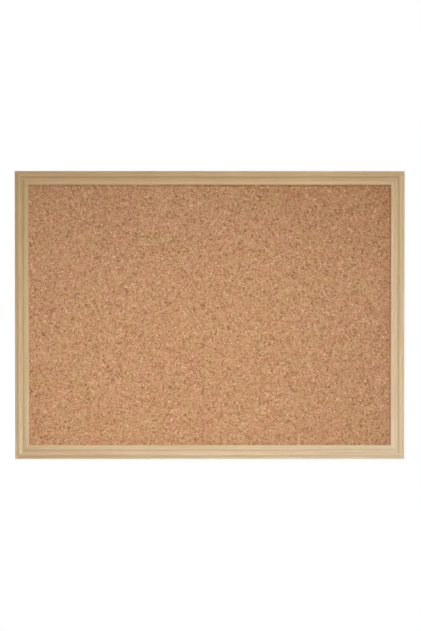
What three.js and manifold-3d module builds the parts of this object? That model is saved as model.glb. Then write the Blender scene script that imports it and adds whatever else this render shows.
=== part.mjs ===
// A framed cork board for a wall: four mitred timber rails hold a sheet of cork glued to a fibreboard panel.
// Lengths are in millimetres. X runs along the width, Z is up and the cork faces -Y.
// The wall is the plane Y = 0, and the origin is the middle of the board on that plane.
import * as THREE from 'three';
import { mergeVertices } from 'three/addons/utils/BufferGeometryUtils.js';
import Module from 'manifold-3d';

const wasm = await Module();
wasm.setup();

// Whole board, outside the frame
const boardWidth = 584.2;
const boardHeight = 431.8;

// Panel, from the back to the cork, and the lip of the frame that covers its edge
const backRecess = 2;
const linerThickness = 0.5;
const coreThickness = 6.25;
const corkThickness = 3;
const lipThickness = 2;
const glueLine = 0.1;
const panelPlay = 0.1;
const panelEdgeGap = 0.5;

// Moulding of the frame, seen on its cut end from the outer edge inwards
const mouldingWidth = 21.1;
const rabbetWidth = 7.1;
const outerRound = 0.8;
const ledgeWidth = 3.6;
const ledgeDrop = 4.2;
const ledgeRise = 0.4;
const coveWidth = 1.4;
const coveBulge = 0.3;
const beadWidth = 4.2;
const beadShoulderDrop = 1.3;
const beadBulge = 1.5;
const channelWidth = 4.3;
const channelShoulderDrop = 1.2;
const channelBulge = 0.9;
const bandRound = 0.6;
const lipRound = 0.8;
const mitreGap = 0.2;

// Clearance round a fastener in the timber, and round the ring that swings
const fastenerClearance = 0.3;
const ringClearance = 0.3;

// Corner nails, bent to an L and driven in from the back across each mitre
const cornerNailThickness = 0.6;
const cornerNailLeg = 4.5;
const cornerNailHeight = 8;
const cornerNailSink = 0.25;
const cornerNailPlaceShares = { outer: 0.32, inner: 0.68 };

// Thin steel points, pressed into the rabbet wall so that they hold the panel in
const pointThickness = 0.5;
const pointWidth = 6;
const pointBite = 7;
const pointReach = 8;
const pointTip = 2.5;
const pointEndRound = 1.5;
const longRailPointShares = { left: -0.32, middle: 0, right: 0.32 };
const stilePointShares = { upper: -0.3, lower: 0.3 };

// Hangers: a folded steel strap on each stile, with a wire ring that turns in its loop
const hangerDrop = 100;
const strapWidth = 9;
const strapSheet = 0.9;
const strapCornerRound = 3;
const ringWire = 1.6;
const ringSidePlay = 0.6;
const ringDrop = 10;
const ringStraight = 2.6;
const ringBend = 1.6;
const ringButtGap = 0.4;

// Screw of each hanger, clear of the ring where it hangs, and how far the strap runs on past it
const screwPastRing = 3.1;
const strapPastScrew = 7;
const screwShank = 3;
const screwLength = 11;
const screwTip = 2.5;
const screwHead = 6.2;
const screwHeadHeight = 1.9;
const screwHeadEdge = 0.7;
const recessWidth = 1;
const recessSpan = 3.6;
const recessDepth = 1.1;

// Rubber bumpers that keep the board off the wall
const bumperHeight = 4.75;
const bumperBase = 10;
const bumperTop = 8;
const bumperEdgeRound = 0.8;
const bumperFromCorner = 26;

// How far a cutting shape runs past the face that it opens
const overrun = 1;
const weldDistance = 0.0001;

// Straight steps on each round stretch, and round the small turned pieces
const mouldingArcSteps = 6;
const strapArcSteps = 8;
const turnedSides = 24;
const turnedArcSteps = 3;
const pilotSides = 16;
const wireSideSteps = 4;
const wireSteps = 48;

const panelThickness = linerThickness + coreThickness + corkThickness + 2 * glueLine;
const rabbetDepth = backRecess + panelThickness + panelPlay;
const bandHeight = rabbetDepth + lipThickness;
const landWidth = mouldingWidth - rabbetWidth;
const panelWidth = boardWidth - 2 * (landWidth + panelEdgeGap);
const panelHeight = boardHeight - 2 * (landWidth + panelEdgeGap);
const wireRadius = ringWire / 2;
const screwDrop = ringDrop + wireRadius + screwPastRing + screwHead / 2;
const strapLength = screwDrop + strapPastScrew;
const strapThickness = 2 * strapSheet;
const loopInner = wireRadius + ringClearance;
const loopOuter = loopInner + strapSheet;

const timber = new THREE.MeshStandardMaterial({ color: 0xc8ac84, roughness: 0.5, metalness: 0 });
const cork = new THREE.MeshStandardMaterial({ color: 0xb88d67, roughness: 0.9, metalness: 0 });
const fibreboard = new THREE.MeshStandardMaterial({ color: 0x9c7f5e, roughness: 0.9, metalness: 0 });
const kraftPaper = new THREE.MeshStandardMaterial({ color: 0xb18f66, roughness: 0.85, metalness: 0 });
const zincSteel = new THREE.MeshStandardMaterial({ color: 0xb9bcc0, roughness: 0.35, metalness: 1 });
const rubber = new THREE.MeshStandardMaterial({ color: 0x35322f, roughness: 0.8, metalness: 0 });

const board = new THREE.Group();

function addPiece(parent, name, geometry, material) {
  const piece = new THREE.Mesh(geometry, material);
  piece.name = name;
  parent.add(piece);
  return piece;
}

// Joining and cutting of closed shapes
function toSolid(geometry) {
  const bare = geometry.clone();
  bare.deleteAttribute('normal');
  bare.deleteAttribute('uv');
  const welded = mergeVertices(bare, weldDistance);
  const vertProperties = Float32Array.from(welded.attributes.position.array);
  const triVerts = Uint32Array.from(welded.index.array);
  return new wasm.Manifold(new wasm.Mesh({ numProp: 3, vertProperties, triVerts }));
}

function toGeometry(solid) {
  const mesh = solid.getMesh();
  const geometry = new THREE.BufferGeometry();
  geometry.setAttribute('position', new THREE.BufferAttribute(mesh.vertProperties, 3));
  geometry.setIndex(new THREE.BufferAttribute(mesh.triVerts, 1));
  geometry.computeVertexNormals();
  return geometry;
}

function cutAway(geometry, cutters) {
  let solid = toSolid(geometry);
  for (const cutter of cutters) {
    solid = solid.subtract(toSolid(cutter));
  }
  return toGeometry(solid);
}

// A flat shape drawn in X and Z, thick from its front at one y to its back at another
function plate(shape, frontY, backY) {
  const geometry = new THREE.ExtrudeGeometry(shape, {
    depth: backY - frontY,
    bevelEnabled: false,
    curveSegments: strapArcSteps,
  });
  geometry.rotateX(Math.PI / 2);
  geometry.translate(0, backY, 0);
  return geometry;
}

// A block between two corners
function block(low, high) {
  const size = high.clone().sub(low);
  const geometry = new THREE.BoxGeometry(size.x, size.y, size.z);
  const middle = low.clone().add(high).divideScalar(2);
  geometry.translate(middle.x, middle.y, middle.z);
  return geometry;
}

// Arc from the end of a path to a point, which swells by the given bulge to the left of the way there
function bulgeTo(path, x, y, bulge) {
  const start = path.currentPoint.clone();
  const end = new THREE.Vector2(x, y);
  const chord = end.clone().sub(start);
  const half = chord.length() / 2;
  const radius = (half * half + bulge * bulge) / (2 * Math.abs(bulge));
  const left = new THREE.Vector2(-chord.y, chord.x).normalize();
  const centre = start.clone().add(end).divideScalar(2);
  centre.addScaledVector(left, bulge - Math.sign(bulge) * radius);
  const startAngle = Math.atan2(start.y - centre.y, start.x - centre.x);
  const endAngle = Math.atan2(end.y - centre.y, end.x - centre.x);
  path.absarc(centre.x, centre.y, radius, startAngle, endAngle, bulge > 0);
}

// Frame

// The moulding's cut end: x is the distance in from the outer edge, y the height from the back
function mouldingSection() {
  const ledgeHeight = bandHeight - ledgeDrop;
  const stepEnd = ledgeWidth + coveWidth;
  const beadEnd = stepEnd + beadWidth;
  const channelEnd = beadEnd + channelWidth;
  const beadStart = bandHeight - beadShoulderDrop;
  const shoulder = bandHeight - channelShoulderDrop;
  const section = new THREE.Shape();
  section.moveTo(0, 0);
  section.lineTo(0, ledgeHeight - outerRound);
  section.absarc(outerRound, ledgeHeight - outerRound, outerRound, Math.PI, Math.PI / 2, true);
  section.lineTo(ledgeWidth, ledgeHeight + ledgeRise);
  bulgeTo(section, stepEnd, beadStart, -coveBulge);
  bulgeTo(section, beadEnd, shoulder, beadBulge);
  bulgeTo(section, channelEnd, shoulder, -channelBulge);
  section.lineTo(channelEnd, bandHeight - bandRound);
  section.absarc(channelEnd + bandRound, bandHeight - bandRound, bandRound, Math.PI, Math.PI / 2, true);
  section.lineTo(mouldingWidth - lipRound, bandHeight);
  section.absarc(mouldingWidth - lipRound, bandHeight - lipRound, lipRound, Math.PI / 2, 0, true);
  section.lineTo(mouldingWidth, rabbetDepth);
  section.lineTo(landWidth, rabbetDepth);
  section.lineTo(landWidth, 0);
  section.closePath();
  return section;
}

// A rail lies along X with its back on Y = 0 and its outer edge on Z = 0, and both ends are mitred
function mitredRail(length) {
  const geometry = new THREE.ExtrudeGeometry(mouldingSection(), {
    depth: length,
    bevelEnabled: false,
    curveSegments: mouldingArcSteps,
  });
  geometry.translate(0, 0, -length / 2);
  const inwards = new THREE.Vector3(0, 0, -1);
  const forwards = new THREE.Vector3(0, -1, 0);
  const along = new THREE.Vector3(-1, 0, 0);
  geometry.applyMatrix4(new THREE.Matrix4().makeBasis(inwards, forwards, along));
  const position = geometry.attributes.position;
  for (let i = 0; i < position.count; i += 1) {
    const reach = length / 2 + position.getZ(i) - mitreGap / Math.SQRT2;
    position.setX(i, Math.sign(position.getX(i)) * reach);
  }
  return geometry;
}

// Each side of the board: its rail's length, turn and place, and the shares at which it has panel points
const sides = {
  top: { length: boardWidth, turn: 0, x: 0, z: boardHeight / 2, points: longRailPointShares },
  right: { length: boardHeight, turn: Math.PI / 2, x: boardWidth / 2, z: 0, points: stilePointShares },
  bottom: { length: boardWidth, turn: Math.PI, x: 0, z: -boardHeight / 2, points: longRailPointShares },
  left: { length: boardHeight, turn: -Math.PI / 2, x: -boardWidth / 2, z: 0, points: stilePointShares },
};

// A side's rail and its panel points stand in a group with the rail's own axes
function sideGroup(side) {
  const group = new THREE.Group();
  group.position.set(side.x, -bumperHeight, side.z);
  group.rotation.y = side.turn;
  board.add(group);
  return group;
}

// Corner nails: an L whose corner lies on the mitre, grown by a clearance for its slot
function cornerNail(place, grown) {
  const inset = place * landWidth;
  const outer = grown - inset;
  const inner = -inset - cornerNailThickness - grown;
  const tip = -inset - cornerNailLeg - grown;
  const shape = new THREE.Shape();
  shape.moveTo(outer, outer);
  shape.lineTo(tip, outer);
  shape.lineTo(tip, inner);
  shape.lineTo(inner, inner);
  shape.lineTo(inner, tip);
  shape.lineTo(outer, tip);
  shape.closePath();
  const frontY = -cornerNailSink - cornerNailHeight - grown;
  const backY = grown > 0 ? overrun : -cornerNailSink;
  return plate(shape, frontY, backY);
}

// The slots at both ends of a rail, for its half of the corner nails
function cornerNailSlots(length) {
  const slots = [];
  for (const place of Object.values(cornerNailPlaceShares)) {
    const rightSlot = cornerNail(place, fastenerClearance);
    rightSlot.translate(length / 2, 0, 0);
    const leftSlot = cornerNail(place, fastenerClearance);
    leftSlot.rotateY(-Math.PI / 2);
    leftSlot.translate(-length / 2, 0, 0);
    slots.push(rightSlot, leftSlot);
  }
  return slots;
}

// Panel points: a flat tab with a sharp end in the timber and a round end over the panel
function panelPoint() {
  const half = pointWidth / 2;
  const buried = -landWidth + pointBite;
  const free = -landWidth - pointReach;
  const shape = new THREE.Shape();
  shape.moveTo(0, buried);
  shape.lineTo(-half, buried - pointTip);
  shape.lineTo(-half, free + pointEndRound);
  shape.absarc(-half + pointEndRound, free + pointEndRound, pointEndRound, Math.PI, 1.5 * Math.PI, false);
  shape.absarc(half - pointEndRound, free + pointEndRound, pointEndRound, 1.5 * Math.PI, 2 * Math.PI, false);
  shape.lineTo(half, buried - pointTip);
  shape.closePath();
  return plate(shape, -backRecess, -backRecess + pointThickness);
}

function panelPointSlot(along) {
  const half = pointWidth / 2 + fastenerClearance;
  const low = new THREE.Vector3(along - half, -backRecess - fastenerClearance, -landWidth - overrun);
  const high = new THREE.Vector3(
    along + half,
    -backRecess + pointThickness + fastenerClearance,
    -landWidth + pointBite + fastenerClearance,
  );
  return block(low, high);
}

// Pilot hole for a hanger's screw, at a height above the board's middle, in the stile's own axes
function pilotHole(along) {
  const radius = screwShank / 2 + fastenerClearance;
  const depth = screwLength - strapThickness + fastenerClearance;
  const hole = new THREE.CylinderGeometry(radius, radius, depth + overrun, pilotSides);
  hole.translate(along, (overrun - depth) / 2, -landWidth / 2);
  return hole;
}

const screwHeight = boardHeight / 2 - hangerDrop - screwDrop;
const pilotsAlong = { top: [], right: [-screwHeight], bottom: [], left: [screwHeight] };
const railNames = { top: 'top_rail', right: 'right_stile', bottom: 'bottom_rail', left: 'left_stile' };

for (const [sideName, side] of Object.entries(sides)) {
  const group = sideGroup(side);
  const pointPlaces = Object.values(side.points).map((share) => share * side.length);
  const cutters = [
    ...cornerNailSlots(side.length),
    ...pointPlaces.map(panelPointSlot),
    ...pilotsAlong[sideName].map(pilotHole),
  ];
  addPiece(group, railNames[sideName], cutAway(mitredRail(side.length), cutters), timber);
}

// Corner nails, two in each corner
const corners = {
  top_right: { turn: 0, x: boardWidth / 2, z: boardHeight / 2 },
  bottom_right: { turn: Math.PI / 2, x: boardWidth / 2, z: -boardHeight / 2 },
  bottom_left: { turn: Math.PI, x: -boardWidth / 2, z: -boardHeight / 2 },
  top_left: { turn: -Math.PI / 2, x: -boardWidth / 2, z: boardHeight / 2 },
};

for (const [cornerName, corner] of Object.entries(corners)) {
  for (const [placeName, place] of Object.entries(cornerNailPlaceShares)) {
    const name = `corner_nail_${cornerName}_${placeName}`;
    const nail = addPiece(board, name, cornerNail(place, 0), zincSteel);
    nail.position.set(corner.x, -bumperHeight, corner.z);
    nail.rotation.y = corner.turn;
  }
}

// Panel: the cork, the fibreboard that it is glued to, and the paper that lines the back
function panelLayer(name, thickness, backHeight, material) {
  const layer = addPiece(board, name, new THREE.BoxGeometry(panelWidth, thickness, panelHeight), material);
  layer.position.y = -bumperHeight - backHeight - thickness / 2;
}

const coreBack = backRecess + linerThickness + glueLine;
const corkBack = coreBack + coreThickness + glueLine;
panelLayer('back_liner', linerThickness, backRecess, kraftPaper);
panelLayer('core_board', coreThickness, coreBack, fibreboard);
panelLayer('cork_sheet', corkThickness, corkBack, cork);

// Panel points along each side
const pointNames = {
  top: { left: 'top_left', middle: 'top_middle', right: 'top_right' },
  bottom: { left: 'bottom_right', middle: 'bottom_middle', right: 'bottom_left' },
  right: { upper: 'right_upper', lower: 'right_lower' },
  left: { upper: 'left_lower', lower: 'left_upper' },
};

for (const [sideName, side] of Object.entries(sides)) {
  const group = sideGroup(side);
  for (const [placeName, share] of Object.entries(side.points)) {
    const name = `panel_point_${pointNames[sideName][placeName]}`;
    const point = addPiece(group, name, panelPoint(), zincSteel);
    point.position.x = share * side.length;
  }
}

// Hangers, each drawn round the line that its ring turns on

// The strap: one sheet folded round the ring's bar, its two halves flat together, with a screw hole
function hangerStrap() {
  const back = -loopOuter;
  const side = new THREE.Shape();
  side.moveTo(back, -strapLength);
  side.lineTo(back, 0);
  side.absarc(0, 0, loopOuter, Math.PI, -Math.acos((strapThickness - loopOuter) / loopOuter), true);
  side.lineTo(back + strapThickness, -strapLength);
  side.closePath();
  const bore = new THREE.Path();
  bore.absarc(0, 0, loopInner, 0, 2 * Math.PI, false);
  side.holes.push(bore);
  const folded = new THREE.ExtrudeGeometry(side, {
    depth: strapWidth,
    bevelEnabled: false,
    curveSegments: strapArcSteps,
  });
  folded.translate(0, 0, -strapWidth / 2);
  const toY = new THREE.Vector3(0, 1, 0);
  const toZ = new THREE.Vector3(0, 0, 1);
  const toX = new THREE.Vector3(1, 0, 0);
  folded.applyMatrix4(new THREE.Matrix4().makeBasis(toY, toZ, toX));

  const half = strapWidth / 2;
  const outline = new THREE.Shape();
  outline.moveTo(-half - overrun, loopOuter + overrun);
  outline.lineTo(-half - overrun, -strapLength + strapCornerRound);
  outline.lineTo(-half, -strapLength + strapCornerRound);
  outline.absarc(strapCornerRound - half, strapCornerRound - strapLength, strapCornerRound,
    Math.PI, 1.5 * Math.PI, false);
  outline.absarc(half - strapCornerRound, strapCornerRound - strapLength, strapCornerRound,
    1.5 * Math.PI, 2 * Math.PI, false);
  outline.lineTo(half + overrun, -strapLength + strapCornerRound);
  outline.lineTo(half + overrun, loopOuter + overrun);
  outline.closePath();
  const rounded = plate(outline, back - overrun, loopOuter + overrun);

  const holeRadius = screwShank / 2 + fastenerClearance;
  const hole = new THREE.CylinderGeometry(holeRadius, holeRadius, strapThickness + 2 * overrun, turnedSides);
  hole.translate(0, back + strapThickness / 2, -screwDrop);
  return toGeometry(toSolid(folded).intersect(toSolid(rounded)).subtract(toSolid(hole)));
}

// The ring: one wire bent to a D, its ends nearly meeting in the loop of the strap
function hangerRing() {
  const half = strapWidth / 2 + ringSidePlay + wireRadius;
  const path = new THREE.Path();
  path.moveTo(ringButtGap / 2, 0);
  path.lineTo(half - ringBend, 0);
  path.absarc(half - ringBend, -ringBend, ringBend, Math.PI / 2, 0, true);
  path.lineTo(half, -ringBend - ringStraight);
  path.absellipse(0, -ringBend - ringStraight, half, ringDrop - ringBend - ringStraight, 0, -Math.PI, true);
  path.lineTo(-half, -ringBend);
  path.absarc(ringBend - half, -ringBend, ringBend, Math.PI, Math.PI / 2, true);
  path.lineTo(-ringButtGap / 2, 0);
  const places = path.getSpacedPoints(wireSteps).map((point) => new THREE.Vector3(point.x, 0, point.y));
  const section = new THREE.Shape();
  section.absarc(0, 0, wireRadius, 0, 2 * Math.PI, false);
  return new THREE.ExtrudeGeometry(section, {
    steps: wireSteps,
    curveSegments: wireSideSteps,
    extrudePath: new THREE.CatmullRomCurve3(places),
  });
}

// The screw: a pan head with a cross recess, and a plain shank with a point
function hangerScrew() {
  const headRadius = screwHead / 2;
  const shankRadius = screwShank / 2;
  const profile = new THREE.Path();
  profile.moveTo(0, -screwLength);
  profile.lineTo(shankRadius, screwTip - screwLength);
  profile.lineTo(shankRadius, 0);
  profile.lineTo(headRadius, 0);
  profile.lineTo(headRadius, screwHeadEdge);
  profile.absellipse(0, screwHeadEdge, headRadius, screwHeadHeight - screwHeadEdge, 0, Math.PI / 2, false);
  const turned = new THREE.LatheGeometry(profile.getPoints(turnedArcSteps), turnedSides);
  const bottom = screwHeadHeight - recessDepth;
  const top = screwHeadHeight + overrun;
  const slots = [[recessSpan / 2, recessWidth / 2], [recessWidth / 2, recessSpan / 2]].map(([x, z]) => {
    return block(new THREE.Vector3(-x, bottom, -z), new THREE.Vector3(x, top, z));
  });
  return cutAway(turned, slots);
}

// The ring lies back on its strap, just clear of it
const ringRestTurn = Math.asin((strapThickness + ringClearance + wireRadius - loopOuter) / ringDrop);

for (const [sideName, sign] of Object.entries({ left: -1, right: 1 })) {
  const hanger = new THREE.Group();
  hanger.position.set(
    sign * (boardWidth / 2 - landWidth / 2),
    loopOuter - bumperHeight,
    boardHeight / 2 - hangerDrop,
  );
  board.add(hanger);
  addPiece(hanger, `hanger_strap_${sideName}`, hangerStrap(), zincSteel);
  const ring = addPiece(hanger, `hanger_ring_${sideName}`, hangerRing(), zincSteel);
  ring.rotation.x = ringRestTurn;
  const screw = addPiece(hanger, `hanger_screw_${sideName}`, hangerScrew(), zincSteel);
  screw.position.set(0, strapThickness - loopOuter, -screwDrop);
}

// Bumpers, one on each end of the top and bottom rails
function bumper() {
  const profile = new THREE.Path();
  profile.moveTo(0, 0);
  profile.lineTo(bumperBase / 2, 0);
  profile.lineTo(bumperTop / 2, bumperHeight - bumperEdgeRound);
  profile.absellipse(bumperTop / 2 - bumperEdgeRound, bumperHeight - bumperEdgeRound,
    bumperEdgeRound, bumperEdgeRound, 0, Math.PI / 2, false);
  profile.lineTo(0, bumperHeight);
  return new THREE.LatheGeometry(profile.getPoints(turnedArcSteps), turnedSides);
}

for (const [cornerName, corner] of Object.entries(corners)) {
  const piece = addPiece(board, `bumper_${cornerName}`, bumper(), rubber);
  piece.position.set(
    corner.x - Math.sign(corner.x) * bumperFromCorner,
    -bumperHeight,
    corner.z - Math.sign(corner.z) * (landWidth / 2),
  );
}

export default board;
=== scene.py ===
import math

import bmesh
import bpy
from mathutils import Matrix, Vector


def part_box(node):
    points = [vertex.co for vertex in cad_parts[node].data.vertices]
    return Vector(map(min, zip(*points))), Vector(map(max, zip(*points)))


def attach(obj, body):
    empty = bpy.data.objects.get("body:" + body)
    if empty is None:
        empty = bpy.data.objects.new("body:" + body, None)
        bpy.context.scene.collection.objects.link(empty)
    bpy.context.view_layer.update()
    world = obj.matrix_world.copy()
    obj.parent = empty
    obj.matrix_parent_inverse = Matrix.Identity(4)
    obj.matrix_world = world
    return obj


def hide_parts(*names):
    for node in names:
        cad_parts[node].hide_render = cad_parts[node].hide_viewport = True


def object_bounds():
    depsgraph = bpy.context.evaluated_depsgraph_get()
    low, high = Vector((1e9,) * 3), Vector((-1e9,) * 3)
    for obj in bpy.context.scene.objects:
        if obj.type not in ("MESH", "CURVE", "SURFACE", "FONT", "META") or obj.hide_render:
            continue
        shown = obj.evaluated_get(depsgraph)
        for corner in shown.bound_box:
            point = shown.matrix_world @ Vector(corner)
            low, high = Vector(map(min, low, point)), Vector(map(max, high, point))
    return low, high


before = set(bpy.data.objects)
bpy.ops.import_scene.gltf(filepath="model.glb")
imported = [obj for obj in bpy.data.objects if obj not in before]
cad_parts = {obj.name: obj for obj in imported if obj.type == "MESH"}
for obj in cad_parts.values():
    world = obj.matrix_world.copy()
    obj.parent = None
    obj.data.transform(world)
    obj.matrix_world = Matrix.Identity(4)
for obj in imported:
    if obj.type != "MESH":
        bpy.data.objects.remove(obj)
cad_low, cad_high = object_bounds()

# Each rail's colour is painted paler or darker, with a drift along it, as painted light and shade.
# The four rails are one pale oak moulding with a ledge, a bead, a channel and a flat band round the cork.
# Each is cut from a length of its own, then mitred at 45 degrees and lacquered.
# The backs stay raw, and are slotted with the rabbet where the nails, points and screws go in.
rail_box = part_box("top_rail")
rail_back = rail_box[1].y
moulding_width = rail_box[1].z - rail_box[0].z
rabbet_width = 0.0071
panel_play = 0.0001
rabbet_depth = rail_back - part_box("cork_sheet")[0].y + panel_play
lip_thickness = 0.002
outer_round = 0.0008
ledge_width = 0.0036
ledge_drop = 0.0042
ledge_rise = 0.0004
cove_width = 0.0014
cove_bulge = 0.0003
bead_width = 0.0042
bead_shoulder_drop = 0.0013
bead_bulge = 0.0015
channel_width = 0.0043
channel_shoulder_drop = 0.0012
channel_bulge = 0.0009
band_round = 0.0006
lip_round = 0.0008
mitre_gap = 0.00012
slot_play = 0.0001
slot_mouth = 0.0004
slot_run_out = 0.001
moulding_line_angle = math.radians(32)
same_point = 0.000002
touching = 0.00001
quarter_turn = math.pi / 2
board_width = cad_high.x - cad_low.x
board_height = cad_high.z - cad_low.z
quarter_bulge_share = 1 - math.sqrt(0.5)


def arc_to(points, end, bulge, steps=12):
    """Adds a round stretch to a cut end's outline, swelling to the left of the way by the bulge."""
    start, end = Vector(points[-1]), Vector(end)
    chord = end - start
    half = chord.length / 2
    radius = (half * half + bulge * bulge) / (2 * bulge)
    left = Vector((-chord.y, chord.x)).normalized()
    centre = (start + end) / 2 + left * (bulge - radius)
    sweep = 4 * math.atan(bulge / half)
    for step in range(1, steps + 1):
        turn = -sweep * step / steps
        spoke = start - centre
        points.append((
            centre.x + spoke.x * math.cos(turn) - spoke.y * math.sin(turn),
            centre.y + spoke.x * math.sin(turn) + spoke.y * math.cos(turn),
        ))


def moulding_outline():
    """The moulding's cut end from its outer back edge: distance in from the edge, height from the back."""
    band = rabbet_depth + lip_thickness
    ledge = band - ledge_drop
    step_end = ledge_width + cove_width
    bead_end = step_end + bead_width
    channel_end = bead_end + channel_width
    shoulder = band - channel_shoulder_drop
    points = [(0, 0), (0, ledge - outer_round)]
    arc_to(points, (outer_round, ledge), outer_round * quarter_bulge_share, 6)
    points.append((ledge_width, ledge + ledge_rise))
    arc_to(points, (step_end, band - bead_shoulder_drop), -cove_bulge, 6)
    arc_to(points, (bead_end, shoulder), bead_bulge)
    arc_to(points, (channel_end, shoulder), -channel_bulge)
    arc_to(points, (channel_end + band_round, band), band_round * quarter_bulge_share, 6)
    points.append((moulding_width - lip_round, band))
    arc_to(points, (moulding_width, band - lip_round), lip_round * quarter_bulge_share, 8)
    points.append((moulding_width, rabbet_depth))
    points.append((moulding_width - rabbet_width, rabbet_depth))
    points.append((moulding_width - rabbet_width, 0))
    return points


def pick(piece, wanted):
    """In edit mode, selects the vertices at the places wanted, and the edges and faces between them."""
    mesh = bmesh.from_edit_mesh(piece.data)
    for vertex in mesh.verts:
        vertex.select = wanted(vertex.co)
    mesh.select_flush(True)
    mesh.select_flush(False)
    bmesh.update_edit_mesh(piece.data)


def start_piece(name):
    """Names the primitive that was just added and moves its place into its mesh."""
    piece = bpy.context.object
    piece.name = name
    bpy.ops.object.transform_apply(location=True, rotation=True, scale=True)
    return piece


def only(piece):
    """Makes one piece the active and only selected one."""
    bpy.ops.object.select_all(action="DESELECT")
    piece.select_set(True)
    bpy.context.view_layer.objects.active = piece


def slot_cutter(nodes):
    """Copies of the fasteners, grown a little and run out past the back of the rail."""
    copies = []
    for name in nodes:
        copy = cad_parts[name].copy()
        copy.data = copy.data.copy()
        bpy.context.collection.objects.link(copy)
        copies.append(copy)
    only(copies[0])
    for copy in copies:
        copy.select_set(True)
    bpy.ops.object.join()
    cutter = bpy.context.object
    bpy.ops.object.mode_set(mode="EDIT")
    bpy.ops.mesh.select_all(action="SELECT")
    bpy.ops.mesh.remove_doubles(threshold=same_point)
    bpy.ops.transform.shrink_fatten(value=slot_play)
    pick(cutter, lambda place: place.y > rail_back - slot_mouth)
    bpy.ops.transform.translate(value=(0, slot_run_out, 0))
    bpy.ops.object.mode_set(mode="OBJECT")
    return cutter


def mitred_rail(name, length, reach, turn, fasteners):
    """One rail: its flat back, drawn out round the moulding's outline, mitred, and turned to its side."""
    land = moulding_width - rabbet_width
    bpy.ops.object.select_all(action="DESELECT")
    bpy.ops.mesh.primitive_plane_add(
        size=1, location=(0, rail_back, reach - land / 2), rotation=(quarter_turn, 0, 0))
    bpy.context.object.scale = (length, land, 1)
    rail = start_piece(name)
    bpy.ops.object.mode_set(mode="EDIT")
    bpy.ops.mesh.select_mode(type="VERT")
    pick(rail, lambda place: place.z > reach - touching)
    outline = moulding_outline()
    for (across, height), (next_across, next_height) in zip(outline, outline[1:]):
        move = (0, height - next_height, across - next_across)
        bpy.ops.mesh.extrude_region_move(TRANSFORM_OT_translate={"value": move})
    bpy.ops.mesh.select_all(action="SELECT")
    bpy.ops.mesh.remove_doubles(threshold=touching)
    for end in (1, -1):
        bpy.ops.mesh.select_all(action="SELECT")
        bpy.ops.mesh.bisect(
            plane_co=(end * (length / 2 - mitre_gap / 2), 0, reach),
            plane_no=(end, 0, -1), use_fill=True, clear_outer=True)
    bpy.ops.mesh.select_all(action="SELECT")
    bpy.ops.mesh.normals_make_consistent(inside=False)
    bpy.ops.object.mode_set(mode="OBJECT")
    rail.rotation_euler = (0, turn, 0)
    bpy.ops.object.transform_apply(location=False, rotation=True, scale=False)
    cutter = slot_cutter(fasteners)
    only(rail)
    slots = rail.modifiers.new("slots", "BOOLEAN")
    slots.operation = "DIFFERENCE"
    slots.solver = "EXACT"
    slots.object = cutter
    bpy.ops.object.modifier_apply(modifier=slots.name)
    bpy.data.objects.remove(cutter)
    bpy.ops.object.shade_smooth_by_angle(angle=moulding_line_angle)
    return rail


def new_finish(name, roughness, metallic=0.0):
    """A finish with its shader, and the place on the object in metres."""
    finish = bpy.data.materials.new(name)
    finish.use_nodes = True
    tree = finish.node_tree
    shader = tree.nodes["Principled BSDF"]
    shader.inputs["Roughness"].default_value = roughness
    shader.inputs["Metallic"].default_value = metallic
    place = tree.nodes.new("ShaderNodeTexCoord").outputs["Object"]
    return finish, tree, shader, place


def squeezed_place(tree, place, scale, shift=(0, 0, 0)):
    """The place, squeezed along one way and moved, for a pattern that runs that way."""
    mapping = tree.nodes.new("ShaderNodeMapping")
    mapping.inputs["Location"].default_value = shift
    mapping.inputs["Scale"].default_value = scale
    tree.links.new(place, mapping.inputs["Vector"])
    return mapping.outputs["Vector"]


def noise(tree, place, scale, detail=2.0, rough=0.5, distortion=0.0):
    """Cloudy noise, from 0 to 1 and about a half on average."""
    node = tree.nodes.new("ShaderNodeTexNoise")
    node.inputs["Scale"].default_value = scale
    node.inputs["Detail"].default_value = detail
    node.inputs["Roughness"].default_value = rough
    node.inputs["Distortion"].default_value = distortion
    tree.links.new(place, node.inputs["Vector"])
    return node.outputs["Fac"]


def grade(tree, value, low, high, to_low=0.0, to_high=1.0, smooth=False):
    """Stretches one range of a value to another, and clamps it there."""
    node = tree.nodes.new("ShaderNodeMapRange")
    if smooth:
        node.interpolation_type = "SMOOTHSTEP"
    node.inputs["From Min"].default_value = low
    node.inputs["From Max"].default_value = high
    node.inputs["To Min"].default_value = to_low
    node.inputs["To Max"].default_value = to_high
    tree.links.new(value, node.inputs["Value"])
    return node.outputs["Result"]


def sums(tree, operation, first, second):
    """Arithmetic on two values, each a socket or a number."""
    node = tree.nodes.new("ShaderNodeMath")
    node.operation = operation
    for socket, value in zip(node.inputs, (first, second)):
        if isinstance(value, (int, float)):
            socket.default_value = value
        else:
            tree.links.new(value, socket)
    return node.outputs["Value"]


def colour(red, green, blue):
    """A colour as the eye reads it, 0 to 255, in the shader's linear light."""
    shares = [channel / 255 for channel in (red, green, blue)]
    return (*[share / 12.92 if share <= 0.04045 else ((share + 0.055) / 1.055) ** 2.4 for share in shares], 1)


def blended(tree, share, first, second, mode="MIX"):
    """One colour laid over another by a share. Each is a socket or a colour."""
    node = tree.nodes.new("ShaderNodeMix")
    node.data_type = "RGBA"
    node.blend_type = mode
    share_in, first_in, second_in = node.inputs[0], node.inputs[6], node.inputs[7]
    for socket, value in ((share_in, share), (first_in, first), (second_in, second)):
        if isinstance(value, (int, float, tuple)):
            socket.default_value = value
        else:
            tree.links.new(value, socket)
    return node.outputs[2]


def relief(tree, shader, height, depth, strength=1.0):
    """Bump of a real depth in metres."""
    node = tree.nodes.new("ShaderNodeBump")
    node.inputs["Strength"].default_value = strength
    node.inputs["Distance"].default_value = depth
    tree.links.new(height, node.inputs["Height"])
    tree.links.new(node.outputs["Normal"], shader.inputs["Normal"])


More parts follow.
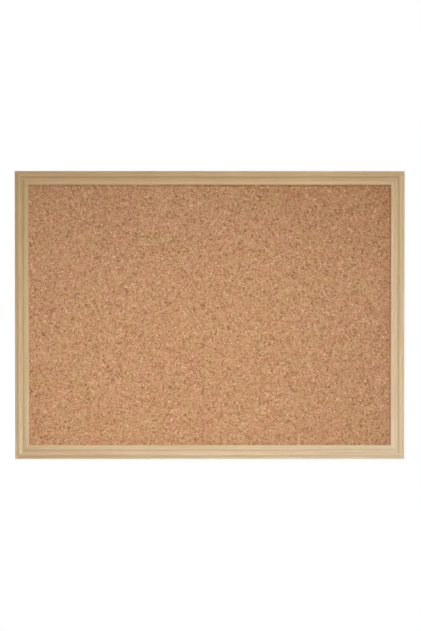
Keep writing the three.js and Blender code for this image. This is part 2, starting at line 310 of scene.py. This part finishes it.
grain_squeeze = 0.035
fleck_squeeze = 0.16
figure_fineness = 190
fibre_fineness = 1500
pore_fineness = 2300
cloud_fineness = 22
pore_brown = colour(140, 106, 68)
# The brown of the painted shade in the moulding's creases.
crease_shade_brown = colour(118, 88, 54)
crease_shade_core = 0.0003
crease_shade_edge = 0.0013
pore_depth = 0.00003
raw_pale = colour(222, 200, 164)
raw_deep = colour(192, 162, 120)
raw_from = rail_back - 0.0005
raw_to = rail_back - 0.0001


def oak_finish(name, upright, shift, creases, pale, deep, light_at_first_end, light_at_last_end):
    """Lacquered oak with its grain, painted light and shade drifting along the rail, painted shade in the
    moulding's creases, and raw oak at the back."""
    finish, tree, shader, place = new_finish(name, 0.38)
    grain = (1, 1, grain_squeeze) if upright else (grain_squeeze, 1, 1)
    along = squeezed_place(tree, place, grain, (shift, shift * 0.7, shift * 1.3))
    figure = noise(tree, along, figure_fineness, 3, 0.55, 0.4)
    fibres = noise(tree, along, fibre_fineness, 2, 0.6)
    flecks = (1, 1, fleck_squeeze) if upright else (fleck_squeeze, 1, 1)
    short = squeezed_place(tree, place, flecks, (shift * 2, 0, shift))
    pores = grade(tree, noise(tree, short, pore_fineness, 1, 0.5), 0.63, 0.72)
    cloud = noise(tree, place, cloud_fineness, 1)
    tone = sums(tree, "ADD", sums(tree, "MULTIPLY", figure, 0.55), sums(tree, "MULTIPLY", fibres, 0.3))
    tone = sums(tree, "ADD", tone, sums(tree, "MULTIPLY", cloud, 0.15))
    wood = blended(tree, grade(tree, tone, 0.36, 0.64), pale, deep)
    wood = blended(tree, sums(tree, "MULTIPLY", pores, 0.22), wood, pore_brown)
    apart = tree.nodes.new("ShaderNodeSeparateXYZ")
    tree.links.new(place, apart.inputs["Vector"])
    place_x, place_z = apart.outputs["X"], apart.outputs["Z"]
    across, half_across = (place_x, board_width / 2) if upright else (place_z, board_height / 2)
    onwards, half_onwards = (place_z, board_height / 2) if upright else (place_x, board_width / 2)
    # Painted light and shade: the wood is multiplied by a tint running from one end of the rail to the other.
    painted_light_drift = blended(tree, grade(tree, onwards, -half_onwards, half_onwards), light_at_first_end, light_at_last_end)
    wood = blended(tree, 1.0, wood, painted_light_drift, "MULTIPLY")
    inwards = sums(tree, "SUBTRACT", half_across, sums(tree, "ABSOLUTE", across, 0))
    # Painted shade: each crease is darkened towards a brown.
    for crease, depth in creases:
        away = sums(tree, "ABSOLUTE", sums(tree, "SUBTRACT", inwards, crease), 0)
        crease_shade_share = grade(tree, away, crease_shade_core, crease_shade_edge, depth, 0.0, True)
        wood = blended(tree, crease_shade_share, wood, crease_shade_brown)
    raw = grade(tree, apart.outputs["Y"], raw_from, raw_to)
    raw_wood = blended(tree, grade(tree, tone, 0.35, 0.65), raw_pale, raw_deep)
    wood = blended(tree, raw, wood, raw_wood)
    tree.links.new(wood, shader.inputs["Base Color"])
    gloss = sums(tree, "ADD", grade(tree, fibres, 0.3, 0.7, 0.3, 0.4), sums(tree, "MULTIPLY", raw, 0.35))
    tree.links.new(gloss, shader.inputs["Roughness"])
    relief(tree, shader, sums(tree, "SUBTRACT", sums(tree, "MULTIPLY", fibres, 0.5), pores), pore_depth, 0.6)
    return finish


corner_nails = [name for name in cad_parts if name.startswith("corner_nail_")]
panel_points = [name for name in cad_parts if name.startswith("panel_point_")]
grain_shift = 0.37

# How far in from the outer edge each crease of painted shade lies, and how dark it is.
oak_crease_shades = {
    "top": ((0.0044, 0.13), (0.0097, 0.2)),
    "bottom": ((0.005, 0.17), (0.009, 0.05), (0.0138, 0.18)),
    "left": ((0.0044, 0.15), (0.009, 0.04), (0.0134, 0.16)),
    "right": ((0.0044, 0.1), (0.0093, 0.22)),
}

# The pale and the deep wood of each rail, paler on the bottom and right rails as painted light, and the
# painted light and shade that its tone comes down to at its left or lower end and at its other end.
oak_tones_and_painted_light = {
    "top": (colour(212, 180, 133), colour(197, 162, 118), (0.87, 0.85, 0.82, 1), (0.95, 0.97, 1.0, 1)),
    "bottom": (colour(239, 210, 169), colour(223, 190, 148), (0.7, 0.68, 0.62, 1), (0.88, 0.93, 1.0, 1)),
    "left": (colour(230, 199, 152), colour(215, 182, 134), (0.86, 0.9, 1.0, 1), (0.71, 0.67, 0.56, 1)),
    "right": (colour(245, 216, 173), colour(229, 196, 152), (0.88, 0.92, 1.0, 1), (0.71, 0.68, 0.61, 1)),
}

# Each rail's CAD node, side, length, reach out from the middle, and turn from the top to that side.
rails = (
    ("top_rail", "top", board_width, cad_high.z, 0),
    ("bottom_rail", "bottom", board_width, cad_high.z, math.pi),
    ("left_stile", "left", board_height, cad_high.x, -quarter_turn),
    ("right_stile", "right", board_height, cad_high.x, quarter_turn),
)
for count, (node, side, length, reach, turn) in enumerate(rails):
    upright = side in ("left", "right")
    nails = [nail for nail in corner_nails if side in nail]
    points = [point for point in panel_points if point.startswith("panel_point_" + side)]
    screws = ["hanger_screw_" + side] if upright else []
    rail = mitred_rail("oak_" + node, length, reach, turn, [*nails, *points, *screws])
    shift = grain_shift * (count + 1)
    finish = oak_finish("oak_" + side, upright, shift, oak_crease_shades[side], *oak_tones_and_painted_light[side])
    rail.data.materials.clear()
    rail.data.materials.append(finish)
    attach(rail, "board")
    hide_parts(node)

# The corner nails and the panel points are stamped from zinc-plated steel sheet, and the nails are bent.
# Two nails hold each mitre, driven in flush with the back. The points are pressed into the rabbet's wall.
# Their CAD shapes are right, so each is carried over, and only its sharp edges are broken.
zinc_grey = colour(186, 189, 192)
zinc_bright = colour(206, 207, 205)
scratch_grey = colour(160, 163, 168)
scratch_fineness = 3500
scratch_depth = 0.00001
zinc_cloud_fineness = 900
stamped_edge = 0.00008
flat_angle = math.radians(1)
sharp_angle = math.radians(40)
round_angle = math.radians(35)


def zinc_finish(name, grain):
    """Bright zinc plate over stamped or drawn steel, with fine scratches and a faint cloud."""
    finish, tree, shader, place = new_finish(name, 0.3, 1.0)
    drawn = squeezed_place(tree, place, grain)
    lines = noise(tree, drawn, scratch_fineness, 2, 0.6)
    cloud = noise(tree, place, zinc_cloud_fineness, 3, 0.6)
    tint = blended(tree, grade(tree, cloud, 0.3, 0.7), zinc_grey, zinc_bright)
    tint = blended(tree, grade(tree, lines, 0.35, 0.75, 0.0, 0.35), tint, scratch_grey)
    tree.links.new(tint, shader.inputs["Base Color"])
    tree.links.new(grade(tree, cloud, 0.25, 0.75, 0.24, 0.42), shader.inputs["Roughness"])
    relief(tree, shader, lines, scratch_depth, 0.5)
    return finish


def break_edges(piece, width, segments):
    """Rounds every sharp edge a little."""
    only(piece)
    edges = piece.modifiers.new("broken_edges", "BEVEL")
    edges.width = width
    edges.segments = segments
    edges.limit_method = "ANGLE"
    edges.angle_limit = sharp_angle
    bpy.ops.object.modifier_apply(modifier=edges.name)
    bpy.ops.object.shade_smooth_by_angle(angle=round_angle)


stamped_zinc = zinc_finish("stamped_zinc", (1, 1, 0.1))
for node in [*corner_nails, *panel_points]:
    fastener = bpy.data.objects.new("stamped_" + node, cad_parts[node].data.copy())
    bpy.context.collection.objects.link(fastener)
    only(fastener)
    bpy.ops.object.mode_set(mode="EDIT")
    bpy.ops.mesh.select_all(action="SELECT")
    bpy.ops.mesh.remove_doubles(threshold=same_point)
    bpy.ops.mesh.dissolve_limited(angle_limit=flat_angle)
    bpy.ops.object.mode_set(mode="OBJECT")
    break_edges(fastener, stamped_edge, 2)
    fastener.data.materials.clear()
    fastener.data.materials.append(stamped_zinc)
    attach(fastener, "board")
    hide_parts(node)

# The core is a soft fibreboard of felted wood fibre, which takes the pins.
# Cork is glued to its face and paper to its back, and the points hold it in the rabbet.
core_pale = colour(168, 141, 107)
core_deep = colour(138, 110, 79)
felt_fineness = 700
felt_depth = 0.0002
core_finish, core_tree, core_shader, core_place = new_finish("felted_fibreboard", 0.92)
core_fibres = noise(core_tree, core_place, felt_fineness, 4, 0.7, 1.5)
core_tint = blended(core_tree, grade(core_tree, core_fibres, 0.35, 0.65), core_pale, core_deep)
core_tree.links.new(core_tint, core_shader.inputs["Base Color"])
relief(core_tree, core_shader, core_fibres, felt_depth)
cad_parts["core_board"].data.materials.clear()
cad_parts["core_board"].data.materials.append(core_finish)

# The cork sheet is granules of ground bark pressed with binder and sliced to 3 mm.
# Its face is a little pitted where granules have pulled out, and has painted shade towards its upper right
# corner.
# The sheet is glued to the core and lies under the frame's lip.
cork_low, cork_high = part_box("cork_sheet")
pit_size = 0.0042
pit_depth = 0.0002
wave_size = 0.02
wave_depth = 0.0001
cells_across = 330
cells_up = 244

bpy.ops.object.select_all(action="DESELECT")
bpy.ops.mesh.primitive_grid_add(
    x_subdivisions=cells_across, y_subdivisions=cells_up, size=1,
    location=(0, cork_low.y, 0), rotation=(quarter_turn, 0, 0))
bpy.context.object.scale = (cork_high.x - cork_low.x, cork_high.z - cork_low.z, 1)
cork = start_piece("pressed_cork")
for name, kind, size, depth in (
    ("granule_cells", "VORONOI", pit_size, pit_depth),
    ("slicing_waves", "CLOUDS", wave_size, wave_depth),
):
    pattern = bpy.data.textures.new(name, kind)
    pattern.noise_scale = size
    press = cork.modifiers.new(name, "DISPLACE")
    press.texture = pattern
    press.texture_coords = "LOCAL"
    press.direction = "Y"
    press.mid_level = 0.0
    press.strength = depth
    bpy.ops.object.modifier_apply(modifier=name)
bpy.ops.object.mode_set(mode="EDIT")
bpy.ops.mesh.select_all(action="SELECT")
bpy.ops.mesh.region_to_loop()
bpy.ops.mesh.extrude_region_move(TRANSFORM_OT_translate={"value": (0, cork_high.y - cork_low.y, 0)})
bpy.ops.transform.resize(value=(1, 0, 1), center_override=(0, cork_high.y, 0))
bpy.ops.mesh.edge_face_add()
bpy.ops.mesh.select_all(action="SELECT")
bpy.ops.mesh.normals_make_consistent(inside=False)
bpy.ops.object.mode_set(mode="OBJECT")
bpy.ops.object.shade_smooth_by_angle(angle=sharp_angle)


def granules(tree, place, size, feature="F1"):
    """Cells of one mean size in metres, as pressed granules meet."""
    node = tree.nodes.new("ShaderNodeTexVoronoi")
    node.feature = feature
    node.inputs["Scale"].default_value = 1 / size
    tree.links.new(place, node.inputs["Vector"])
    return node


def chance(tree, cells):
    """Two random shares for each cell."""
    apart = tree.nodes.new("ShaderNodeSeparateColor")
    tree.links.new(cells.outputs["Color"], apart.inputs["Color"])
    return apart.outputs["Red"], apart.outputs["Green"]


coarse_granule = 0.0034
fine_granule = 0.0019
raggedness = 0.0022
crumble_fineness = 500
dust_fineness = 2600
patch_fineness = 48
cork_pale = colour(211, 165, 128)
cork_deep = colour(160, 105, 60)
greener_patch = colour(248, 255, 242)
redder_patch = colour(255, 249, 253)
bark_brown = colour(112, 60, 20)
bark_strength = 0.52
chip_pale = colour(232, 198, 166)
chip_strength = 0.5
seam_brown = colour(122, 76, 34)
seam_strength = 0.3
seam_width = 0.06
# The painted shade towards the cork's upper right corner, and where it starts and where it is full.
painted_corner_shade_tint = (0.87, 0.83, 0.73, 1)
corner_shade_start = 0.33
corner_shade_end = 0.66

cork_finish, cork_tree, cork_shader, cork_place = new_finish("pressed_cork_granules", 0.85)
crumble = cork_tree.nodes.new("ShaderNodeTexNoise")
crumble.inputs["Scale"].default_value = crumble_fineness
crumble.inputs["Detail"].default_value = 2
cork_tree.links.new(cork_place, crumble.inputs["Vector"])
ragged = cork_tree.nodes.new("ShaderNodeVectorMath")
ragged.operation = "MULTIPLY_ADD"
ragged.inputs[1].default_value = (raggedness, raggedness, raggedness)
cork_tree.links.new(crumble.outputs["Color"], ragged.inputs[0])
cork_tree.links.new(cork_place, ragged.inputs[2])
ragged_place = ragged.outputs["Vector"]
coarse = granules(cork_tree, ragged_place, coarse_granule)
fine = granules(cork_tree, ragged_place, fine_granule)
seams = granules(cork_tree, ragged_place, coarse_granule, "DISTANCE_TO_EDGE")
coarse_chance, coarse_other = chance(cork_tree, coarse)
fine_chance, fine_other = chance(cork_tree, fine)
dust = noise(cork_tree, cork_place, dust_fineness, 2, 0.6)
cork_tone = sums(cork_tree, "ADD", sums(cork_tree, "MULTIPLY", coarse_chance, 0.25),
                 sums(cork_tree, "MULTIPLY", fine_chance, 0.42))
cork_tone = sums(cork_tree, "ADD", cork_tone, sums(cork_tree, "MULTIPLY", dust, 0.3))
cork_tint = blended(cork_tree, grade(cork_tree, cork_tone, 0.1, 0.9), cork_pale, cork_deep)
redness = grade(cork_tree, noise(cork_tree, cork_place, patch_fineness, 2, 0.6), 0.3, 0.7)
patches = blended(cork_tree, redness, greener_patch, redder_patch)
cork_tint = blended(cork_tree, 1.0, cork_tint, patches, "MULTIPLY")
cork_apart = cork_tree.nodes.new("ShaderNodeSeparateXYZ")
cork_tree.links.new(cork_place, cork_apart.inputs["Vector"])
up_right = sums(cork_tree, "ADD", cork_apart.outputs["X"],
                sums(cork_tree, "MULTIPLY", cork_apart.outputs["Z"], 2))
# Painted shade: the cork is darkened towards its upper right corner.
corner_shade_share = grade(cork_tree, up_right, corner_shade_start, corner_shade_end)
cork_tint = blended(cork_tree, corner_shade_share, cork_tint, painted_corner_shade_tint, "MULTIPLY")
bark = grade(cork_tree, coarse_other, 0.93, 0.95)
bark = sums(cork_tree, "MAXIMUM", bark, grade(cork_tree, fine_other, 0.93, 0.95))
cork_tint = blended(cork_tree, sums(cork_tree, "MULTIPLY", bark, bark_strength), cork_tint, bark_brown)
chips = grade(cork_tree, fine_other, 0.05, 0.03)
cork_tint = blended(cork_tree, sums(cork_tree, "MULTIPLY", chips, chip_strength), cork_tint, chip_pale)
seam = grade(cork_tree, seams.outputs["Distance"], 0.0, seam_width, seam_strength, 0.0)
cork_tint = blended(cork_tree, seam, cork_tint, seam_brown)
cork_tree.links.new(cork_tint, cork_shader.inputs["Base Color"])
cork_height = sums(cork_tree, "ADD", sums(cork_tree, "MULTIPLY", coarse_chance, -0.4),
                   sums(cork_tree, "MULTIPLY", dust, 0.3))
cork_height = sums(cork_tree, "SUBTRACT", cork_height, sums(cork_tree, "MULTIPLY", bark, 0.5))
relief(cork_tree, cork_shader, cork_height, pit_depth)
cork.data.materials.clear()
cork.data.materials.append(cork_finish)
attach(cork, "board")
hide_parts("cork_sheet")

# The back liner is brown kraft paper with faint ribs, as wide and as high as the core.
# It is glued over the core's back so that the panel doesn't bow.
kraft_pale = colour(196, 160, 115)
kraft_deep = colour(170, 134, 92)
paper_fibre_fineness = 1300
paper_cloud_fineness = 14
paper_rib_fineness = 900
paper_rib_squeeze = 0.02
paper_grain_depth = 0.00004
liner_finish, liner_tree, liner_shader, liner_place = new_finish("kraft_paper", 0.8)
liner_fibres = noise(liner_tree, liner_place, paper_fibre_fineness, 5, 0.75, 0.5)
liner_cloud = noise(liner_tree, liner_place, paper_cloud_fineness, 2)
ribbed_place = squeezed_place(liner_tree, liner_place, (1, 1, paper_rib_squeeze))
liner_ribs = noise(liner_tree, ribbed_place, paper_rib_fineness, 1)
liner_tone = sums(liner_tree, "ADD", sums(liner_tree, "MULTIPLY", liner_fibres, 0.8),
                  sums(liner_tree, "MULTIPLY", liner_cloud, 0.2))
liner_tint = blended(liner_tree, grade(liner_tree, liner_tone, 0.35, 0.65), kraft_pale, kraft_deep)
liner_tree.links.new(liner_tint, liner_shader.inputs["Base Color"])
relief(liner_tree, liner_shader, sums(liner_tree, "ADD", liner_fibres, liner_ribs), paper_grain_depth)
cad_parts["back_liner"].data.materials.clear()
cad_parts["back_liner"].data.materials.append(liner_finish)

# Each hanger strap is one strip of zinc-plated sheet, folded round the ring's bar until its halves meet.
# Its end is rounded, its edges are broken in the press, and both halves are punched for the screw.
# It is modelled with the line that the ring turns on at the origin, and then set on each stile.
strap_low, strap_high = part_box("hanger_strap_right")
strap_width = strap_high.x - strap_low.x
loop_radius = (strap_high.y - strap_low.y) / 2
strap_length = strap_high.z - strap_low.z - loop_radius
strap_sheet = 0.00087
fold_seam = 0.00006
fold_bend = 0.0003
strap_corner = 0.003
screw_drop = 0.017
punched_radius = 0.0018
punch_run_out = 0.001
strap_edge = 0.0001
strap_face = 2 * strap_sheet + fold_seam - loop_radius


def draw_on(*move):
    """Draws the selected section on by a move."""
    bpy.ops.mesh.extrude_region_move(TRANSFORM_OT_translate={"value": move})


def bend_on(centre, axis, angle, steps):
    """Draws the selected section on round a line through a centre."""
    bpy.ops.mesh.spin(steps=steps, angle=-angle, center=centre, axis=axis)


def close_up(piece):
    """Fills the open ends, turns the faces outwards and leaves edit mode."""
    bpy.ops.mesh.select_all(action="SELECT")
    bpy.ops.mesh.remove_doubles(threshold=same_point)
    bpy.ops.mesh.fill_holes(sides=0)
    bpy.ops.mesh.normals_make_consistent(inside=False)
    bpy.ops.object.mode_set(mode="OBJECT")


def turned(name, stations, sides):
    """A shape turned about Y: its distance along the line and its radius at each station."""
    (start, radius), *others = stations
    bpy.ops.object.select_all(action="DESELECT")
    bpy.ops.mesh.primitive_circle_add(
        vertices=sides, radius=radius, location=(0, start, 0), rotation=(quarter_turn, 0, 0))
    piece = start_piece(name)
    bpy.ops.object.mode_set(mode="EDIT")
    bpy.ops.mesh.select_all(action="SELECT")
    for along, wide in others:
        draw_on(0, along - start, 0)
        bpy.ops.transform.resize(value=(wide / radius, 1, wide / radius), center_override=(0, along, 0))
        start, radius = along, wide
    close_up(piece)
    return piece


def cut_with(piece, cutter):
    """Takes one closed shape out of a piece, and removes that shape."""
    only(piece)
    cut = piece.modifiers.new("cut", "BOOLEAN")
    cut.operation = "DIFFERENCE"
    cut.solver = "EXACT"
    cut.object = cutter
    bpy.ops.object.modifier_apply(modifier=cut.name)
    bpy.data.objects.remove(cutter)


def ring_line(side):
    """The middle of the line that the ring turns on, in the strap on the left or the right stile."""
    low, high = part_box("hanger_strap_" + side)
    return Vector(((low.x + high.x) / 2, low.y + loop_radius, high.z - loop_radius))


def set_in_place(pattern, name, place):
    """A copy of a finished piece with its own mesh, moved to its place."""
    piece = pattern.copy()
    piece.data = pattern.data.copy()
    piece.name = name
    bpy.context.collection.objects.link(piece)
    only(piece)
    piece.location = place
    bpy.ops.object.transform_apply(location=True, rotation=True, scale=True)
    return piece


bpy.ops.object.select_all(action="DESELECT")
bpy.ops.mesh.primitive_plane_add(size=1, location=(0, strap_sheet / 2 - loop_radius, -strap_length))
bpy.context.object.scale = (strap_width, strap_sheet, 1)
strap = start_piece("strap_pattern")
bpy.ops.object.mode_set(mode="EDIT")
bpy.ops.mesh.select_all(action="SELECT")
bpy.ops.mesh.delete(type="ONLY_FACE")
bpy.ops.mesh.select_all(action="SELECT")
draw_on(0, 0, strap_length)
turn_back = math.acos((strap_face + fold_bend) / (loop_radius + fold_bend))
bend_on((0, 0, 0), (1, 0, 0), -math.pi - turn_back, 40)
bend_y = (loop_radius + fold_bend) * math.cos(turn_back)
bend_z = -(loop_radius + fold_bend) * math.sin(turn_back)
bend_on((0, bend_y, bend_z), (1, 0, 0), turn_back, 8)
draw_on(0, 0, -strap_length - bend_z)
close_up(strap)
bpy.ops.object.mode_set(mode="EDIT")
bpy.ops.mesh.select_mode(type="EDGE")
pick(strap, lambda place: place.z < touching - strap_length)
corners = bmesh.from_edit_mesh(strap.data)
for edge in corners.edges:
    first, second = (vertex.co for vertex in edge.verts)
    edge.select = edge.select and abs(first.x - second.x) < touching
corners.select_flush_mode()
bmesh.update_edit_mesh(strap.data)
bpy.ops.mesh.bevel(offset=strap_corner, segments=10, affect="EDGES")
bpy.ops.mesh.select_mode(type="VERT")
bpy.ops.object.mode_set(mode="OBJECT")
punch_start = -loop_radius - punch_run_out
punch = turned("punch", ((punch_start, punched_radius), (loop_radius, punched_radius)), 32)
punch.location.z = -screw_drop
cut_with(strap, punch)
break_edges(strap, strap_edge, 2)
drawn_zinc = zinc_finish("drawn_zinc", (1, 1, 0.15))
strap.data.materials.append(drawn_zinc)
for side in ("left", "right"):
    piece = set_in_place(strap, "steel_hanger_strap_" + side, ring_line(side))
    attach(piece, "board")
    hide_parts("hanger_strap_" + side)
bpy.data.objects.remove(strap)

# Each ring is one zinc-plated wire bent to a D, whose ends nearly meet inside the loop of its strap.
# It turns in the loop, and at rest it lies back just clear of the strap.
wire_radius = 0.0008
wire_end_edge = 0.00012
ring_side_play = 0.0006
ring_side = strap_width / 2 + ring_side_play + wire_radius
ring_drop = 0.010
ring_straight = 0.0026
ring_bend = 0.0016
ring_butt_gap = 0.0004
ring_rest_slope = 0.09

bpy.ops.object.select_all(action="DESELECT")
bpy.ops.mesh.primitive_circle_add(
    vertices=20, radius=wire_radius, location=(ring_butt_gap / 2, 0, 0), rotation=(0, quarter_turn, 0))
ring = start_piece("ring_pattern")
bpy.ops.object.mode_set(mode="EDIT")
bpy.ops.mesh.select_all(action="SELECT")
round_y = (0, 1, 0)
shoulder_z = -ring_bend - ring_straight
draw_on(ring_side - ring_bend - ring_butt_gap / 2, 0, 0)
bend_on((ring_side - ring_bend, 0, -ring_bend), round_y, quarter_turn, 10)
draw_on(0, 0, -ring_straight)
bend_on((0, 0, shoulder_z), round_y, math.pi, 40)
draw_on(0, 0, ring_straight)
bend_on((ring_bend - ring_side, 0, -ring_bend), round_y, quarter_turn, 10)
draw_on(ring_side - ring_bend - ring_butt_gap / 2, 0, 0)
pick(ring, lambda place: place.z < shoulder_z + touching)
bow_drop = (ring_drop + shoulder_z) / ring_side
bpy.ops.transform.resize(value=(1, 1, bow_drop), center_override=(0, 0, shoulder_z))
close_up(ring)
break_edges(ring, wire_end_edge, 2)
ring.rotation_euler = (math.asin(ring_rest_slope), 0, 0)
bpy.ops.object.transform_apply(location=False, rotation=True, scale=False)
ring.data.materials.append(drawn_zinc)
for side in ("left", "right"):
    piece = set_in_place(ring, "steel_hanger_ring_" + side, ring_line(side))
    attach(piece, side + "_ring")
    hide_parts("hanger_ring_" + side)
bpy.data.objects.remove(ring)

# Each hanger screw is a zinc-plated wood screw with a domed pan head and a cross recess.
# It goes through both halves of the strap into a pilot hole in the stile.
screw_low, screw_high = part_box("hanger_screw_right")
head_radius = (screw_high.x - screw_low.x) / 2
shank_radius = 0.0015
head_height = 0.0019
head_edge = 0.0007
crown_share = 0.06
point_length = 0.0025
point_radius = 0.0001
recess_size = (0.0036, 0.0022, 0.001)
recess_taper = (0.72, 1, 0.8)
head_break = 0.00006
dome_steps = 13
screw_point = screw_low.y - screw_high.y + head_height

stations = [
    (screw_point, point_radius),
    (screw_point + point_length, shank_radius),
    (0, shank_radius),
    (0, head_radius),
]
for step in range(dome_steps):
    climb = quarter_turn * step / dome_steps
    stations.append((head_edge + (head_height - head_edge) * math.sin(climb), head_radius * math.cos(climb)))
stations.append((head_height, head_radius * crown_share))
screw = turned("screw_pattern", stations, 40)
for turn in (0, quarter_turn):
    bpy.ops.object.select_all(action="DESELECT")
    bpy.ops.mesh.primitive_cube_add(size=1, location=(0, head_height, 0))
    bpy.context.object.scale = recess_size
    recess = start_piece("recess")
    bpy.ops.object.mode_set(mode="EDIT")
    pick(recess, lambda place: place.y < head_height)
    bpy.ops.transform.resize(value=recess_taper, center_override=(0, 0, 0))
    bpy.ops.object.mode_set(mode="OBJECT")
    recess.rotation_euler = (0, turn, 0)
    cut_with(screw, recess)
break_edges(screw, head_break, 2)
screw.data.materials.append(drawn_zinc)
for side in ("left", "right"):
    under_head = ring_line(side) + Vector((0, strap_face, -screw_drop))
    piece = set_in_place(screw, "steel_hanger_screw_" + side, under_head)
    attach(piece, "board")
    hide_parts("hanger_screw_" + side)
bpy.data.objects.remove(screw)

# The four bumpers are soft dark rubber, moulded with a foot, a tapered side and a ring groove in the face.
# They are stuck to the backs of the top and bottom rails and hold the board off the wall.
bumper_low, bumper_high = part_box("bumper_top_left")
bumper_height = bumper_high.y - bumper_low.y
bumper_base = (bumper_high.x - bumper_low.x) / 2
bumper_face = 0.004
bumper_round = 0.0008
round_steps = 7
foot_height = 0.0004
foot_draft = 0.00005
foot_step_height = 0.0001
foot_step_width = 0.0003
groove = (
    (0, 0.0026),
    (-0.00012, 0.0025),
    (-0.00018, 0.0023),
    (-0.00012, 0.0021),
    (0, 0.002),
    (0, 0.0006),
)
rubber_dark = colour(46, 44, 42)
rubber_grey = colour(66, 63, 60)
bloom_grey = colour(96, 93, 88)
rubber_dust_fineness = 1200
rubber_bloom_fineness = 160
rubber_grain_depth = 0.00002

stations = [
    (0, bumper_base),
    (foot_height, bumper_base - foot_draft),
    (foot_height + foot_step_height, bumper_base - foot_step_width),
]
for step in range(round_steps + 1):
    climb = quarter_turn * step / round_steps
    stations.append((
        bumper_height - bumper_round * (1 - math.sin(climb)),
        bumper_face - bumper_round * (1 - math.cos(climb)),
    ))
for along, wide in groove:
    stations.append((bumper_height + along, wide))
bumper = turned("bumper_pattern", stations, 48)
bpy.ops.object.shade_smooth_by_angle(angle=round_angle)

rubber_finish, rubber_tree, rubber_shader, rubber_place = new_finish("bumper_rubber", 0.7)
rubber_dust = noise(rubber_tree, rubber_place, rubber_dust_fineness, 3, 0.6)
rubber_bloom = noise(rubber_tree, rubber_place, rubber_bloom_fineness, 2)
rubber_tint = blended(rubber_tree, grade(rubber_tree, rubber_dust, 0.4, 0.7), rubber_dark, rubber_grey)
bloomed = grade(rubber_tree, rubber_bloom, 0.5, 0.8, 0, 0.3)
rubber_tint = blended(rubber_tree, bloomed, rubber_tint, bloom_grey)
rubber_tree.links.new(rubber_tint, rubber_shader.inputs["Base Color"])
rubber_tree.links.new(grade(rubber_tree, rubber_bloom, 0.3, 0.7, 0.6, 0.8), rubber_shader.inputs["Roughness"])
relief(rubber_tree, rubber_shader, rubber_dust, rubber_grain_depth)
bumper.data.materials.append(rubber_finish)
for corner in ("top_left", "top_right", "bottom_left", "bottom_right"):
    low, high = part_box("bumper_" + corner)
    place = ((low.x + high.x) / 2, low.y, (low.z + high.z) / 2)
    piece = set_in_place(bumper, "rubber_bumper_" + corner, place)
    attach(piece, "board")
    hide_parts("bumper_" + corner)
bpy.data.objects.remove(bumper)

# The camera stands two metres in front of the board, about 24 mm above its middle,
# and takes in the whole board and the white round it, as it was photographed.
camera_data = bpy.data.cameras.new("studio_camera")
camera_data.lens = 75.52
camera_data.sensor_width = 36
camera_data.clip_end = 100
camera = bpy.data.objects.new("studio_camera", camera_data)
camera.location = (-0.006, -1.9985, 0.0243)
camera.rotation_euler = (math.radians(89.284), 0, math.radians(-0.204))
bpy.context.collection.objects.link(camera)
bpy.context.scene.camera = camera

# The face is lit by a soft lamp at the upper right, one above the camera and a narrow strip beside it.
# These three have hoods, so that their light thins out away from where they point.
# An open lamp in front and below lifts the lower part, and one behind lights the back.


def soft_lamp(name, location, aim, wide, tall, power, hood):
    """A flat lamp that points from one place to another and isn't seen. The hood is its angle of light."""
    lamp_data = bpy.data.lights.new(name, "AREA")
    lamp_data.shape = "RECTANGLE"
    lamp_data.size = wide
    lamp_data.size_y = tall
    lamp_data.energy = power
    lamp_data.spread = math.radians(hood)
    lamp = bpy.data.objects.new(name, lamp_data)
    lamp.location = location
    lamp.rotation_euler = (Vector(location) - Vector(aim)).to_track_quat("Z", "Y").to_euler()
    lamp.visible_camera = False
    bpy.context.collection.objects.link(lamp)


middle = (0, 0, 0)
soft_lamp("right_lamp", (1.8, -1.4, 1.6), (-0.1, 0, -0.14), wide=0.7, tall=0.7, power=0.51, hood=16)
soft_lamp("front_lamp", (0.6, -2.6, 1.2), (-0.07, 0, -0.22), wide=0.7, tall=0.7, power=0.43, hood=14)
soft_lamp("strip_lamp", (-0.6, -2.3, 0.4), (-0.08, 0, -0.01), wide=0.7, tall=0.1, power=0.054, hood=13)
soft_lamp("low_lamp", (0.1, -0.7, -0.8), middle, wide=0.6, tall=0.6, power=1.98, hood=180)
soft_lamp("back_lamp", (-1.2, 2.6, 1.6), middle, wide=1.0, tall=1.0, power=40, hood=180)

# The floor is a plain pale sheet a metre below the board's middle, under what the photograph takes in.
# It glows a little to the camera alone, so that it runs into the white round it and keeps its shadows.
floor_width = 3.4
floor_drop = 1.0
floor_glow = 0.45
floor_grey = colour(235, 235, 233)
bpy.ops.object.select_all(action="DESELECT")
bpy.ops.mesh.primitive_plane_add(size=floor_width, location=(0, 0, -floor_drop))
floor = bpy.context.object
floor.name = "floor"
floor_finish, floor_tree, floor_shader = new_finish("pale_floor", 0.9)[:3]
floor_shader.inputs["Base Color"].default_value = floor_grey
floor_shader.inputs["Emission Color"].default_value = (1, 1, 1, 1)
seen = floor_tree.nodes.new("ShaderNodeLightPath")
glow = grade(floor_tree, seen.outputs["Is Camera Ray"], 0, 1, 0, floor_glow)
floor_tree.links.new(glow, floor_shader.inputs["Emission Strength"])
floor.data.materials.append(floor_finish)

# The room's own light comes evenly from all round.
# Where the camera, polished metal or glass sees it, it is plain white.
room_light = 0.59
world = bpy.data.worlds.new("studio")
bpy.context.scene.world = world
world.use_nodes = True
world_tree = world.node_tree
background = world_tree.nodes["Background"]
background.inputs["Color"].default_value = (1, 1, 1, 1)
seen = world_tree.nodes.new("ShaderNodeLightPath")
direct = sums(world_tree, "MAXIMUM", seen.outputs["Is Camera Ray"], seen.outputs["Is Glossy Ray"])
direct = sums(world_tree, "MAXIMUM", direct, seen.outputs["Is Transmission Ray"])
world_tree.links.new(grade(world_tree, direct, 0, 1, room_light, 1.0), background.inputs["Strength"])

bpy.context.scene.view_settings.view_transform = "Standard"
